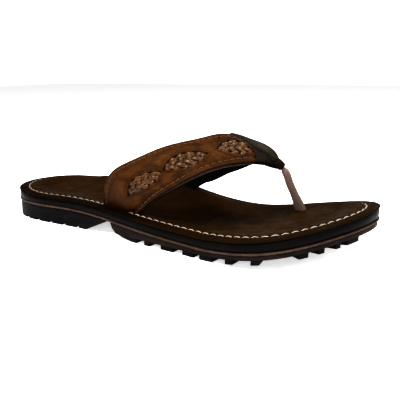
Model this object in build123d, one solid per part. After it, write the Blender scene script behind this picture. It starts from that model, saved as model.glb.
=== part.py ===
from build123d import *
import math
import os

# A right-foot thong sandal. Millimetres, +X to the toe, +Y to the inner side, +Z up.
# Z = 0 is the ground; X = Y = 0 is the middle of the sole's length and width.

# ---- driving dimensions -------------------------------------------------------
LENGTH = 285.0            # heel to toe
TOE_X = LENGTH / 2
BALL_X = 48.5             # line across the ball of the foot, where the sole bends
FLEX_GAP = 0.6            # saw cut that lets the rigid halves turn
FLEX_Z = 16.2             # height of the bending line, just over the footbed

HEEL_WELT_Z = 13.2        # height of the welt strip's middle at the heel
FORE_WELT_Z = 6.5         # and under the ball
WELT_DROP_FROM = -81.0    # the sole thins between these two stations
WELT_DROP_TO = 58.0
WELT_HALF = 1.1           # half the welt strip's thickness
WELT_WIDTH = 6.0          # how far the strip reaches in from the edge
TOE_SPRING = 16.3         # lift of the toe tip
SPRING_FROM = 50.0
SPRING_POWER = 1.6

HEEL_RISE = 6.7           # welt middle to footbed edge, at the heel
TOE_RISE = 8.5            # and at the toe
HEEL_LIP = 0.9            # extra rise of the heel's back rim
ARCH_RISE = 12.0          # inner arch support
ARCH_X = -33.0
ARCH_REACH = 47.0
HEEL_DISH = 1.8           # hollow of the footbed under the heel
FORE_DISH = 1.0           # and under the toes

LEATHER = 1.5             # footbed cover
FOAM = 2.2                # cushion let into the midsole
FOAM_INSET = 14.0
LUG_DEPTH = 2.8
LUG_REACH = 12.0          # how far an edge lug reaches in
# Rim lugs: (station along the sole, width along the rim).
OUTER_LUGS = [
    (-9, 20), (10.6, 4.5), (27.2, 10), (42.3, 8.5), (57.2, 10), (73.8, 5), (90.7, 5),
    (115, 5.5), (123.4, 3.6), (129.2, 3), (135.5, 9),
]
INNER_LUGS = [
    (-13, 13), (6, 12), (24, 12), (40, 9), (57, 12), (74, 9), (91, 12), (107, 8), (120, 8), (131, 7),
]
HEEL_GROOVE = 1.5
HEEL_BREAST = -50.0       # front foot of the heel block

STITCH_INSET = 7.6
STITCH_PITCH = 5.7
STITCH_LENGTH = 3.9
THREAD_RADIUS = 0.45

STRAP_LEATHER = 1.6       # layers of a strap, outside to inside
STRAP_PADDING = 2.6
STRAP_LINING = 1.0
LAYER_GAP = 0.12
YOKE_THICKNESS = 3.2
POST_RADIUS = 2.4
POST_FOOT_RADIUS = 3.2
POST_CORE_RADIUS = 1.1
POST_CLEARANCE = 0.4

# Sole outline, as seen from above: heel tip, outer side, toe tip, inner side.
OUTLINE = [
    (-142.2, 2.5), (-120.5, -31.5), (-60, -36.0), (0, -43.0), (50, -48.3), (98, -49.8), (127, -25.0),
    (141.4, 19.0), (127, 41.5), (98, 51.0), (60, 46.0), (0, 38.5), (-60, 32.0), (-119.5, 37.0),
]

# Edge pairs of each strap from the footbed to the yoke: (back edge point, front edge point).
LATERAL_STRAP = [
    ((-36.5, -30.8, 18.6), (-3.5, -34.0, 16.9)),
    ((-34.5, -32.2, 31.0), (4.0, -35.7, 23.2)),
    ((-26.0, -32.5, 45.0), (16.0, -36.5, 33.0)),
    ((-8.0, -29.5, 55.0), (28.0, -34.0, 40.8)),
    ((12.0, -22.0, 64.0), (40.0, -28.5, 48.1)),
    ((32.0, -11.5, 69.3), (53.0, -18.6, 53.4)),
    ((47.4, -0.4, 71.7), (64.0, -7.8, 54.7)),
    ((61.6, 8.8, 62.0), (68.6, -2.0, 55.0)),
]
MEDIAL_STRAP = [
    ((-33.0, 27.0, 29.9), (4.0, 30.6, 22.8)),
    ((-30.5, 29.6, 40.0), (11.0, 32.6, 28.0)),
    ((-24.0, 31.0, 49.5), (19.0, 32.5, 31.5)),
    ((-8.0, 29.5, 57.0), (29.5, 30.5, 37.0)),
    ((12.0, 25.0, 62.5), (40.0, 27.0, 42.8)),
    ((33.0, 13.5, 67.6), (51.0, 23.5, 48.2)),
    ((46.6, 4.8, 71.0), (60.3, 21.7, 52.8)),
]
LATERAL_YOKE = [
    ((62.6, 9.5, 61.4), (69.5, -0.9, 54.6)),
    ((66.0, 10.8, 59.2), (72.0, 4.2, 53.6)),
    ((70.0, 12.2, 56.5), (74.4, 9.4, 51.4)),
    ((74.2, 13.5, 53.7), (76.9, 13.0, 49.9)),
]
MEDIAL_YOKE = [
    ((49.0, 1.6, 71.0), (61.8, 21.0, 52.8)),
    ((56.2, 6.6, 65.9), (66.0, 19.5, 52.0)),
    ((63.0, 9.9, 61.4), (71.2, 17.8, 51.0)),
    ((69.5, 12.4, 57.0), (75.4, 16.4, 49.8)),
    ((74.3, 14.0, 53.8), (77.4, 15.4, 50.1)),
]
LATERAL_CROWNS = [0.5, 1.8, 2.4, 2.4, 2.4, 2.2, 2.0, 1.2]
MEDIAL_CROWNS = [0.5, 1.8, 2.4, 2.4, 2.6, 3.4, 4.8]
LATERAL_YOKE_CROWNS = [1.2, 1.0, 0.8, 0.6]
MEDIAL_YOKE_CROWNS = [4.8, 5.2, 5.0, 4.2, 2.6]

# Linkage: the strap lifts on its feet while the forefoot rises, and the post leans between them.
STRAP_PIVOT = (-25.0, 24.0)        # x and z of the line through the strap's feet
STRAP_LIFT = 11.6                  # degrees of lift that the strap's feet leave room for
STRAP_AIR = 1.0                    # air between the strap's feet and the footbed, over its stitches
POST_FOOT = (88.0, 28.0)           # where the toe post leaves the footbed
POST_HEAD = Vector(80.0, 15.6, 47.9)
POST_BOW = Vector(0.4, -0.2, 0.4)  # how far the post bows out of straight
WRAP_TOP = Vector(75.6, 13.5, 54.0)
WRAP_FOOT = Vector(79.2, 15.3, 49.8)
WRAP_RADII = (3.1, 2.9)
ANCHOR_RADIUS = 9.0
ANCHOR_THICKNESS = 1.5
TAIL_FLAP = 12.0
# Laced windows: section number along the strap, share across it, half length, half width.
LATERAL_EYES = [(2.3, 0.6, 16.0, 6.6), (4.05, 0.6, 16.0, 6.4), (5.9, 0.52, 12.5, 5.0)]
MEDIAL_EYES = [(2.3, 0.6, 16.0, 6.6), (4.05, 0.6, 16.0, 6.4), (5.48, 0.6, 9.5, 5.2)]
ORIGIN_SHIFT = (0.0, 0.56, 0.0)    # brings the outline's box onto X = Y = 0

STATIONS = [-152 + 8 * i for i in range(39)]
ROWS = [-64 + 8 * i for i in range(17)]
TALL = 90.0
OUTLINE_EDGE = Spline(*OUTLINE, periodic=True)


# ---- heights ------------------------------------------------------------------
def smooth(t):
    """Eases from 0 to 1."""
    t = min(max(t, 0.0), 1.0)
    return t * t * (3 - 2 * t)


def ground_z(x):
    """Underside of the lugs: flat, then rising to the toe."""
    return TOE_SPRING * max((x - SPRING_FROM) / (TOE_X - SPRING_FROM), 0.0) ** SPRING_POWER


def welt_z(x):
    """Middle of the welt strip."""
    drop = smooth((WELT_DROP_TO - x) / (WELT_DROP_TO - WELT_DROP_FROM))
    return FORE_WELT_Z + (HEEL_WELT_Z - FORE_WELT_Z) * drop + ground_z(x)


def rubber_top_z(x):
    return welt_z(x) - WELT_HALF


def welt_top_z(x):
    return welt_z(x) + WELT_HALF


def lug_root_z(x):
    return ground_z(x) + LUG_DEPTH


def high_z(x):
    return TALL


def inset_points(inset, count):
    """Points along the outline, moved inwards."""
    points = []
    for i in range(count):
        at = OUTLINE_EDGE.position_at(i / count, position_mode=PositionMode.PARAMETER)
        along = OUTLINE_EDGE.tangent_at(i / count, position_mode=PositionMode.PARAMETER)
        points.append((at.X - along.Y * inset, at.Y + along.X * inset))
    return points


def edge_distance(x, y):
    """How far a point is inside the outline, or 0 outside it."""
    crossings = 0
    nearest = TALL
    for (ax, ay), (bx, by) in zip(RIM, RIM[1:] + RIM[:1]):
        if (ay > y) != (by > y) and x < ax + (bx - ax) * (y - ay) / (by - ay):
            crossings += 1
        nearest = min(nearest, math.hypot(x - ax, y - ay))
    return nearest if crossings % 2 else 0.0


def footbed_z(x, y):
    """Top of the footbed: raised edge, inner arch, shallow hollow in the middle."""
    along = (x + TOE_X) / LENGTH
    rise = HEEL_RISE + (TOE_RISE - HEEL_RISE) * along
    rise += HEEL_LIP * smooth((-100 - x) / 42)
    rise += ARCH_RISE * math.exp(-(((x - ARCH_X) / ARCH_REACH) ** 2)) * smooth((y - 2) / 25)
    dish = FORE_DISH + (HEEL_DISH - FORE_DISH) * smooth((20 - x) / 70)
    return welt_z(x) + rise - dish * smooth((edge_distance(x, y) - 6) / 18)


# ---- outlines and slabs ---------------------------------------------------------
def inset_outline(inset):
    """The closed outline, moved inwards."""
    if inset == 0:
        return OUTLINE_EDGE
    return Spline(*inset_points(inset, 44), periodic=True)


def outline_prism(inset=0.0):
    """Everything inside the outline, from below the ground to well over the strap."""
    face = make_face(inset_outline(inset))
    return extrude(face.moved(Location((0, 0, -10))), amount=TALL + 20, dir=(0, 0, 1))


def side_slab(low, high):
    """Everything between two side curves, across the whole width."""
    lower = Spline(*[(x, 0, low(x)) for x in STATIONS])
    upper = Spline(*[(x, 0, high(x)) for x in STATIONS])
    ends = [Line(lower @ 0, upper @ 0), Line(lower @ 1, upper @ 1)]
    face = make_face([lower, upper] + ends)
    return extrude(face, amount=70, dir=(0, 1, 0), both=True)


def rear_side(shape):
    """The part behind the ball line."""
    box = Box(300, 200, 300).moved(Location((BALL_X - FLEX_GAP / 2 - 150, 0, 0)))
    return shape & box


def ahead_of_arch(shape):
    """The part ahead of the forefoot rubber's back face, which is rounded at its foot."""
    back = [(-24.5, 60), (-24.0, 9.0), (-22.0, 5.6), (-19.0, 3.1), (-12.5, 1.5), (-4.0, 0.0), (-4.0, -10)]
    profile = Plane.XZ * make_face(Polyline(*back, (170, -10), (170, 60), close=True))
    return shape & extrude(profile, amount=70, both=True)


def front_side(shape):
    """The part ahead of the ball line."""
    box = Box(300, 200, 300).moved(Location((BALL_X + FLEX_GAP / 2 + 150, 0, 0)))
    return shape & box


def above(depth, thickness):
    """A solid standing on the footbed's surface lowered by depth."""
    return extrude(FOOTBED.moved(Location((0, 0, -depth))), amount=thickness, dir=(0, 0, 1))


# ---- soles ----------------------------------------------------------------------
def heel_outsole():
    """The heel block: rounded at the back, slanted breast, shallow cross grooves."""
    toe_ward = [(HEEL_BREAST, 0), (-30.0, 9.2), (-28.5, 30.0)]
    back = Spline((-150, 9), (-142, 4.5), (-136, 1.4), (-127, 0), tangents=[(1, -0.6), (1, 0)])
    sketch = [back, Line((-127, 0), toe_ward[0]), Polyline(*toe_ward, (-150, 30)), Line((-150, 30), (-150, 9))]
    profile = Plane.XZ * make_face(sketch)
    block = extrude(profile, amount=70, both=True)
    block = block & outline_prism(0.6) & side_slab(lambda x: -5, rubber_top_z)
    for i in range(6):
        block -= Box(3.2, 120, 2 * HEEL_GROOVE).moved(Location((-126 + 13.5 * i, 0, 0)))
    return block - Box(92, 3.2, 2 * HEEL_GROOVE).moved(Location((-104, 2, 0)))


def forefoot_outsole():
    """The thin rubber under the forefoot, down to the roots of the lugs."""
    return ahead_of_arch(side_slab(lug_root_z, rubber_top_z) & outline_prism(0.6))


def edge_lug(x, width, inner):
    """One lug on the inner or outer rim: a block across the edge."""
    side = [i for i, (_, y) in enumerate(RIM) if (y > 19) == inner]
    at = min(side, key=lambda i: abs(RIM[i][0] - x)) / len(RIM)
    point = OUTLINE_EDGE.position_at(at, position_mode=PositionMode.PARAMETER)
    along = OUTLINE_EDGE.tangent_at(at, position_mode=PositionMode.PARAMETER)
    turn = math.degrees(math.atan2(along.Y, along.X))
    block = Box(width, 2 * LUG_REACH, TALL)
    return block.moved(Location((point.X, point.Y, 0), (0, 0, turn)))


def lug_columns():
    """Every lug as an upright column: two rim rows and a staggered middle row."""
    columns = [edge_lug(x, width, False) for x, width in OUTER_LUGS]
    columns += [edge_lug(x, width, True) for x, width in INNER_LUGS]
    for i in range(11):
        x = -15 + 13.0 * i
        if abs(x - BALL_X) < 6:
            continue
        y = 5 + (8 if i % 2 else -8) * (1 if x < 110 else 0.4)
        shape = extrude(RegularPolygon(6.2, 6), amount=TALL / 2, both=True)
        columns.append(shape.moved(Location((x, y, 0))))
    return columns


def lugs():
    """Lugs cut to the ground below and the rubber above."""
    layer = ahead_of_arch(side_slab(ground_z, lug_root_z) & outline_prism(0.9))
    return [layer & column for column in lug_columns()]


def welt_strip():
    """The thin strip squeezed between rubber and midsole, round the whole rim."""
    ring = outline_prism() - outline_prism(WELT_WIDTH)
    return side_slab(rubber_top_z, welt_top_z) & ring


def midsole(welt, inserts):
    """The foam midsole, with room for the welt, the cushion and the strap ends."""
    body = (side_slab(rubber_top_z, high_z) & outline_prism()) - above(LEATHER, TALL)
    body -= above(LEATHER + FOAM, TALL) & outline_prism(FOAM_INSET)
    for piece in [welt] + inserts:
        body -= piece
    return body


# ---- stitching --------------------------------------------------------------------
def stitch(start, end):
    """One visible stitch: a short round thread between two points."""
    start, end = Vector(start), Vector(end)
    along = end - start
    return Solid.make_cylinder(THREAD_RADIUS, along.length, Plane(origin=start, z_dir=along))


def stitch_row(points, length):
    """Stitches centred on points, each aimed at the next point."""
    row = []
    for here, there in zip(points, points[1:]):
        along = (there - here).normalized() * (length / 2)
        row.append(stitch(here - along, here + along))
    return row


def footbed_stitches(tails):
    """Stitches round the footbed, partly sunk into the leather, left out where a strap's tail passes."""
    line = Spline(*inset_points(STITCH_INSET, 44), periodic=True)
    count = round(line.length / STITCH_PITCH)
    points = []
    for i in range(count + 1):
        at = line.position_at((i % count) / count)
        points.append(Vector(at.X, at.Y, footbed_z(at.X, at.Y) + 0.7 * THREAD_RADIUS))
    row = stitch_row(points, STITCH_LENGTH)
    return [s for s in row if all(s.distance_to(tail) > LAYER_GAP for tail in tails)]


# ---- straps -----------------------------------------------------------------------
class Strap:
    """A strap given by edge pairs: gives flat cross-sections at any depth."""

    def __init__(self, pairs, outward, crowns, eyes=()):
        self.eyes = eyes
        self.rear = [Vector(*rear) for rear, front in pairs]
        self.front = [Vector(*front) for rear, front in pairs]
        self.crowns = crowns
        middles = [(r + f) / 2 for r, f in zip(self.rear, self.front)]
        self.normals = []
        for i, (rear, front) in enumerate(zip(self.rear, self.front)):
            along = middles[min(i + 1, len(pairs) - 1)] - middles[max(i - 1, 0)]
            normal = (front - rear).cross(along).normalized()
            self.normals.append(normal if normal.dot(Vector(*outward)) > 0 else normal * -1)

    def point(self, i, across, depth):
        """A point of section i; across runs from 0 at the back edge to 1 at the front."""
        base = self.rear[i] + (self.front[i] - self.rear[i]) * across
        bulge = self.crowns[i] * 4 * across * (1 - across)
        return base + self.normals[i] * (bulge - depth)

    def section(self, i, top, bottom, trim):
        """The outline of one layer, cut across."""
        width = (self.front[i] - self.rear[i]).length
        low, high = trim / width, 1 - trim / width
        ends = [self.point(i, a, d) for d in (top, bottom) for a in (low, 0.5, high)]
        outer = ThreePointArc(*ends[:3])
        inner = ThreePointArc(ends[5], ends[4], ends[3])
        return Wire([outer, Line(ends[2], ends[5]), inner, Line(ends[3], ends[0])])

    def layer(self, top, bottom, trim=0.0):
        """One layer of the strap as a smooth solid."""
        count = len(self.rear)
        return Solid.make_loft([self.section(i, top, bottom, trim) for i in range(count)])

    def place(self, step, across, depth):
        """A point at any step along the strap, whole numbers being its sections."""
        i = min(int(step), len(self.rear) - 2)
        share = step - i
        return self.point(i, across, depth) * (1 - share) + self.point(i + 1, across, depth) * share


def strap_room():
    """What the sole sweeps under a strap's foot as the strap lifts, plus a little air."""
    rest = extrude(FOOTBED.moved(Location((0, 0, STRAP_AIR))), amount=-60, dir=(0, 0, 1))
    hinge = Axis((STRAP_PIVOT[0], 0, STRAP_PIVOT[1]), (0, -1, 0))
    return [rest, rest.rotate(hinge, -STRAP_LIFT)]


def strap_plan(strap, top, bottom, trim=0.04):
    """The strap's own footprint between two depths, as a flat face."""
    ends = []
    for depth in (top, bottom):
        for across in (trim, 0.5, 1 - trim):
            at = strap.point(0, across, depth)
            ends.append(Vector(at.X, at.Y, 0))
    outer = ThreePointArc(*ends[:3])
    inner = ThreePointArc(ends[5], ends[4], ends[3])
    return make_face([outer, Line(ends[2], ends[5]), inner, Line(ends[3], ends[0])])


def strap_tail(strap):
    """The strap's end under the footbed: down a slot, then turned inwards under the midsole."""
    upright = extrude(strap_plan(strap, 1.4, 3.8), amount=TALL, dir=(0, 0, 1))
    upright = (upright & side_slab(rubber_top_z, high_z)) - above(0, TALL)
    flap = extrude(strap_plan(strap, 3.8, 3.8 + TAIL_FLAP), amount=TALL, dir=(0, 0, 1))
    return upright + (flap & anchor_layer())


def anchor_layer():
    """The thin layer on top of the rubber where strap ends and the anchor lie."""
    return side_slab(rubber_top_z, lambda x: rubber_top_z(x) + ANCHOR_THICKNESS)


def eye_window(strap, eye, margin):
    """A lens-shaped cutter through the strap, for one laced window."""
    step, share, half_length, half_width = eye
    centre = strap.place(step, share, 0)
    along = strap.place(step + 0.18, share, 0) - strap.place(step - 0.18, share, 0)
    across = strap.place(step, 0.9, 0) - strap.place(step, 0.1, 0)
    plane = Plane(origin=centre, x_dir=along, z_dir=along.cross(across))
    half = half_length - margin
    wide = half_width - margin
    upper = ThreePointArc((-half, 0), (0, wide), (half, 0))
    lower = ThreePointArc((half, 0), (0, -wide), (-half, 0))
    return extrude(plane * make_face([upper, lower]), amount=8, both=True)


def strap_leather(strap, room):
    """The outer leather, with its three windows."""
    leather = strap.layer(0, STRAP_LEATHER)
    for cutter in room + [eye_window(strap, eye, 0) for eye in strap.eyes]:
        leather -= cutter
    return leather


def strap_braids(strap, room):
    """The laced leather plait that fills each window."""
    whole = strap.layer(0.1, STRAP_LEATHER)
    for cutter in room:
        whole -= cutter
    return [whole & eye_window(strap, eye, 0.15) for eye in strap.eyes]


def strap_lower_layer(strap, room, top, thickness, trim):
    """A layer under the leather: padding or lining."""
    layer = strap.layer(top, top + thickness, trim)
    for cutter in room:
        layer -= cutter
    return layer


def strap_stitches(strap):
    """Thread along both edges of the strap, on the leather."""
    stitches = []
    for across in (0.1, 0.9):
        line = Spline(*[strap.point(i, across, -0.3 * THREAD_RADIUS) for i in range(1, len(strap.rear))])
        count = round(line.length / 4.2)
        stitches += stitch_row([line.position_at(i / count) for i in range(count)], 3.0)
    return stitches


def largest(shape):
    """The biggest solid of a cut shape, without the crumbs."""
    return max(shape.solids(), key=lambda solid: solid.volume)


def yoke_half(pairs, outward, crowns):
    """One half of the V-shaped yoke, from a strap's end to the knot."""
    return Strap(pairs, outward, crowns).layer(0, YOKE_THICKNESS, 0.1)


def toe_post_wrap():
    """The leather wrap that binds the yoke to the post."""
    along = WRAP_FOOT - WRAP_TOP
    top = Plane(origin=WRAP_TOP, z_dir=along) * Circle(WRAP_RADII[0])
    foot = Plane(origin=WRAP_FOOT, z_dir=along) * Circle(WRAP_RADII[1])
    return loft([top, foot])


def post_line():
    """The post's gently bowed middle line, from its foot joint to its head."""
    foot = Vector(*post_joint())
    middle = (foot + POST_HEAD) / 2 + POST_BOW
    return ThreePointArc(foot, middle, POST_HEAD)


def post_joint():
    """The middle of the post's round foot, where it pivots on the footbed."""
    x, y = POST_FOOT
    return (x, y, footbed_z(x, y) + POST_CLEARANCE + POST_FOOT_RADIUS)


def toe_post(radius_foot, radius_head):
    """A tapering round bar along the post line."""
    line = post_line()
    sections = []
    for i in range(5):
        share = i / 4
        radius = radius_foot + (radius_head - radius_foot) * share
        sections.append(Plane(origin=line @ share, z_dir=line % share) * Circle(radius))
    return loft(sections)


def toe_post_webbing():
    """The woven sleeve: round foot, tapering bar, open along its core."""
    foot = Sphere(POST_FOOT_RADIUS).moved(Location(post_joint()))
    return foot + toe_post(POST_FOOT_RADIUS - 0.2, POST_RADIUS) - toe_post(POST_CORE_RADIUS, POST_CORE_RADIUS)


def post_tail():
    """The webbing below the footbed, down to its anchor."""
    x, y = POST_FOOT
    strip = Box(3.0, 6.0, TALL).moved(Location((x, y, TALL / 2)))
    return (strip & side_slab(lambda s: rubber_top_z(s) + ANCHOR_THICKNESS, high_z)) - above(0, TALL)


def post_anchor():
    """The round plate under the midsole that the post is fixed to."""
    x, y = POST_FOOT
    disc = Cylinder(ANCHOR_RADIUS, TALL).moved(Location((x, y, TALL / 2)))
    return disc & anchor_layer()


# ---- assembly -------------------------------------------------------------------------
def save(name, shape):
    """Moves the shape onto the part's origin and writes it as one file."""
    pieces = shape if isinstance(shape, list) else [shape]
    solids = [s for p in pieces for s in p.solids()]
    moved = [s.moved(Location(ORIGIN_SHIFT)) for s in solids]
    export_step(moved[0] if len(moved) == 1 else Compound(children=moved), f"parts/{name}.step")


def save_halves(name, shape):
    """Writes the parts of a sole layer behind and ahead of the ball line."""
    save(name + "_rear", rear_side(shape))
    save(name + "_front", front_side(shape))


def save_rows(name, solids):
    """Writes small solids that never cross the ball line, in two groups."""
    save(name + "_rear", [s for s in solids if s.center().X < BALL_X - 3])
    save(name + "_front", [s for s in solids if s.center().X > BALL_X + 3])


def save_strap(name, strap, room):
    """Writes every layer of one strap."""
    padding_top = STRAP_LEATHER + LAYER_GAP
    lining_top = padding_top + STRAP_PADDING + LAYER_GAP
    save(name + "_leather", strap_leather(strap, room))
    save(name + "_braids", strap_braids(strap, room))
    save(name + "_stitching", strap_stitches(strap))
    save(name + "_padding", strap_lower_layer(strap, room, padding_top, STRAP_PADDING, 1.2))
    save(name + "_lining", strap_lower_layer(strap, room, lining_top, STRAP_LINING, 0.0))


RIM = inset_points(0, 240)
FOOTBED = Face.make_surface_from_array_of_points([[(x, y, footbed_z(x, y)) for y in ROWS] for x in STATIONS])
os.makedirs("parts", exist_ok=True)

lateral = Strap(LATERAL_STRAP, (0, -1, 0.2), LATERAL_CROWNS, LATERAL_EYES)
medial = Strap(MEDIAL_STRAP, (0, 1, 0.2), MEDIAL_CROWNS, MEDIAL_EYES)
lateral_tail = strap_tail(lateral)
medial_tail = strap_tail(medial)
tail = post_tail()
anchor = post_anchor()
welt = welt_strip()
inserts = [lateral_tail, medial_tail, tail, anchor]

save("heel_outsole", heel_outsole())
save_halves("forefoot_outsole", forefoot_outsole())
save_rows("forefoot_lugs", lugs())
save_halves("welt_strip", welt)
save_halves("midsole", midsole(welt, inserts))
save_halves("footbed_foam", (above(LEATHER + FOAM, FOAM) & outline_prism(FOAM_INSET)) - tail)
cover = above(LEATHER, LEATHER) & outline_prism()
save_halves("footbed_leather", cover - lateral_tail - medial_tail - tail)
save_rows("footbed_stitching", footbed_stitches([lateral_tail, medial_tail]))
save("lateral_strap_tail", lateral_tail)
save("medial_strap_tail", medial_tail)

room = strap_room()
save_strap("lateral_strap", lateral, room)
save_strap("medial_strap", medial, room)
wrap = toe_post_wrap()
lateral_yoke = yoke_half(LATERAL_YOKE, (0.3, -1, 1), LATERAL_YOKE_CROWNS)
medial_yoke = yoke_half(MEDIAL_YOKE, (0.3, 1, 1), MEDIAL_YOKE_CROWNS)
lateral_body = lateral.layer(0, STRAP_LEATHER + STRAP_PADDING + STRAP_LINING + 3 * LAYER_GAP)
save("lateral_yoke", largest(lateral_yoke - wrap))
save("medial_yoke", largest(medial_yoke - lateral_yoke - wrap - lateral_body))
save("toe_post_wrap", wrap)

save("toe_post_webbing", toe_post_webbing())
save("toe_post_core", toe_post(POST_CORE_RADIUS, POST_CORE_RADIUS))
save("toe_post_tail", tail)
save("toe_post_anchor", anchor)
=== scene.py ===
import math

import bmesh
import bpy
import numpy as np
from mathutils import Matrix, Vector


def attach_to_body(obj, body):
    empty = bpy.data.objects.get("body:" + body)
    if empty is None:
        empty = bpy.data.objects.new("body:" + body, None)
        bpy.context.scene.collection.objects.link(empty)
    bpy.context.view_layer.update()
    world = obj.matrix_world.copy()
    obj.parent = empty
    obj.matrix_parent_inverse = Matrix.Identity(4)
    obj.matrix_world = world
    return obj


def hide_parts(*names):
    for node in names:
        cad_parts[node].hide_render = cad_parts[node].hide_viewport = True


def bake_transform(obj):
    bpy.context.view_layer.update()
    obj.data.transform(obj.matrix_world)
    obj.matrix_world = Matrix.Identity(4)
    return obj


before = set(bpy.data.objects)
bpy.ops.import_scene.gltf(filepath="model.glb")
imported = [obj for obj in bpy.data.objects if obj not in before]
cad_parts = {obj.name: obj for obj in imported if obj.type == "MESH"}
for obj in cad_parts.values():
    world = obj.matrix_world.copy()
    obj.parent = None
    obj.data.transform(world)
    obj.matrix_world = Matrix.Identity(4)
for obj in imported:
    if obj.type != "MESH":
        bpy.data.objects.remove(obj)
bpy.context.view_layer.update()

# A right-foot thong sandal. Shapes are worked out in millimetres on the sole's own origin:
# +X to the toe, +Y to the inner side, +Z up. MM and SHIFT_Y bring them into the frame.
MM = 0.001
SHIFT_Y = 0.56

# ---- sole ------------------------------------------------------------------------
TOE_X = 142.5
OUTLINE = [
    (-142.2, 2.5), (-120.5, -31.5), (-60, -36.0), (0, -43.0), (50, -48.3), (98, -49.8), (127, -25.0),
    (141.4, 19.0), (127, 41.5), (98, 51.0), (60, 46.0), (0, 38.5), (-60, 32.0), (-119.5, 37.0),
]
CENTRE_LINE = ([-112, -60, 0, 50, 98, 110], [3, -2, -2.2, -1.3, 0.6, 3])
RIM_COUNT = 1500             # points round the outline
STITCH_INSET = 7.6
STITCH_PITCH = 5.7
STITCH_LENGTH = 4.4
FOOTBED_THREAD = (0.46, 0.38)    # half width and half height of a thread
STRAP_THREAD = (0.36, 0.3)
FLEX = (28, 70)              # the sole bends between these two stations
BALL_X = 48.5                # the CAD's sole is cut here
FLEX_GAP = 0.6               # and its halves stand this far apart

# ---- straps ----------------------------------------------------------------------
# Edge pairs of each strap from the footbed to the yoke: (back edge point, front edge point).
LATERAL_STRAP = [
    ((-36.5, -30.8, 18.6), (-3.5, -34.0, 16.9)),
    ((-34.5, -32.2, 31.0), (4.0, -35.7, 23.2)),
    ((-26.0, -32.5, 45.0), (16.0, -36.5, 33.0)),
    ((-8.0, -29.5, 55.0), (28.0, -34.0, 40.8)),
    ((12.0, -22.0, 64.0), (40.0, -28.5, 48.1)),
    ((32.0, -11.5, 69.3), (53.0, -18.6, 53.4)),
    ((47.4, -0.4, 71.7), (64.0, -7.8, 54.7)),
    ((61.6, 8.8, 62.0), (68.6, -2.0, 55.0)),
]
MEDIAL_STRAP = [
    ((-33.0, 27.0, 29.9), (4.0, 30.6, 22.8)),
    ((-30.5, 29.6, 40.0), (11.0, 32.6, 28.0)),
    ((-24.0, 31.0, 49.5), (19.0, 32.5, 31.5)),
    ((-8.0, 29.5, 57.0), (29.5, 30.5, 37.0)),
    ((12.0, 25.0, 62.5), (40.0, 27.0, 42.8)),
    ((33.0, 13.5, 67.6), (51.0, 23.5, 48.2)),
    ((46.6, 4.8, 71.0), (60.3, 21.7, 52.8)),
]
LATERAL_YOKE = [
    ((62.6, 9.5, 61.4), (69.5, -0.9, 54.6)),
    ((66.0, 10.8, 59.2), (72.0, 4.2, 53.6)),
    ((70.0, 12.2, 56.5), (74.4, 9.4, 51.4)),
    ((74.2, 13.5, 53.7), (77.2, 13.2, 49.2)),
]
MEDIAL_YOKE = [
    ((49.0, 1.6, 71.0), (61.8, 21.0, 52.8)),
    ((56.2, 6.6, 65.9), (66.0, 19.5, 52.0)),
    ((63.0, 9.9, 61.4), (71.2, 17.8, 51.0)),
    ((69.5, 12.4, 57.0), (75.4, 16.4, 49.8)),
    ((74.3, 14.0, 53.8), (78.0, 15.8, 49.2)),
]
LATERAL_CROWNS = [0.5, 1.8, 2.4, 2.4, 2.4, 2.2, 2.0, 1.2]
MEDIAL_CROWNS = [0.5, 1.8, 2.4, 2.4, 2.6, 3.4, 4.8]
LATERAL_YOKE_CROWNS = [1.2, 1.0, 0.8, 0.6]
MEDIAL_YOKE_CROWNS = [5.0, 7.2, 7.2, 5.9, 3.2]
YOKE_FOLDS = 3.5             # gathered folds across each half of the yoke
ROOT_SHARE = 0.6             # how far a strap runs on below the footbed, in steps of the pairs
# Laced windows: step along the strap, share across it, half length, half width.
LATERAL_EYES = [(2.3, 0.6, 16.5, 6.9), (4.05, 0.6, 16.5, 6.7), (5.9, 0.54, 13.4, 6.0)]
MEDIAL_EYES = [(2.3, 0.6, 16.5, 6.9), (4.05, 0.6, 16.5, 6.7), (5.48, 0.6, 9.8, 5.5)]
LEATHER = 1.55               # depth of the strap's padding under its leather
PADDING = 2.7
LINING_TOP = 4.2
LINING = 1.1
STRANDS = 5                  # laces in each plait
BRAID_PERIOD = 30.0
EDGE_SEAM = 3.4              # strap edge to its stitch row
STRAP_PITCH = 4.2
STRAP_STITCH = 3.3           # length of a stitch
CREASES = (6.6, 8.2)         # pressed lines, from the strap's back edge
STRAP_BEND = (18, 42)        # the straps bend between these two heights
POST_BEND = (18, 26)         # and the toe post between these

# ---- toe post ----------------------------------------------------------------------
POST_FOOT = np.array([88.0, 28.0, 17.62])
POST_HEAD = np.array([80.0, 15.6, 47.9])
POST_BOW = np.array([0.4, -0.2, 0.4])
WRAP_TOP = np.array([75.0, 13.2, 53.6])
WRAP_FOOT = np.array([79.6, 15.4, 49.2])
WRAP_RADIUS = 2.95
WRAP_TURNS = 2.6


# ---- curves ----------------------------------------------------------------------
def smooth(t):
    """Eases from 0 to 1."""
    t = np.clip(t, 0.0, 1.0)
    return t * t * (3 - 2 * t)


def bell(distance, width):
    """A smooth bump: 1 at no distance, fading over width."""
    return np.exp(-((distance / width) ** 2))


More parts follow.
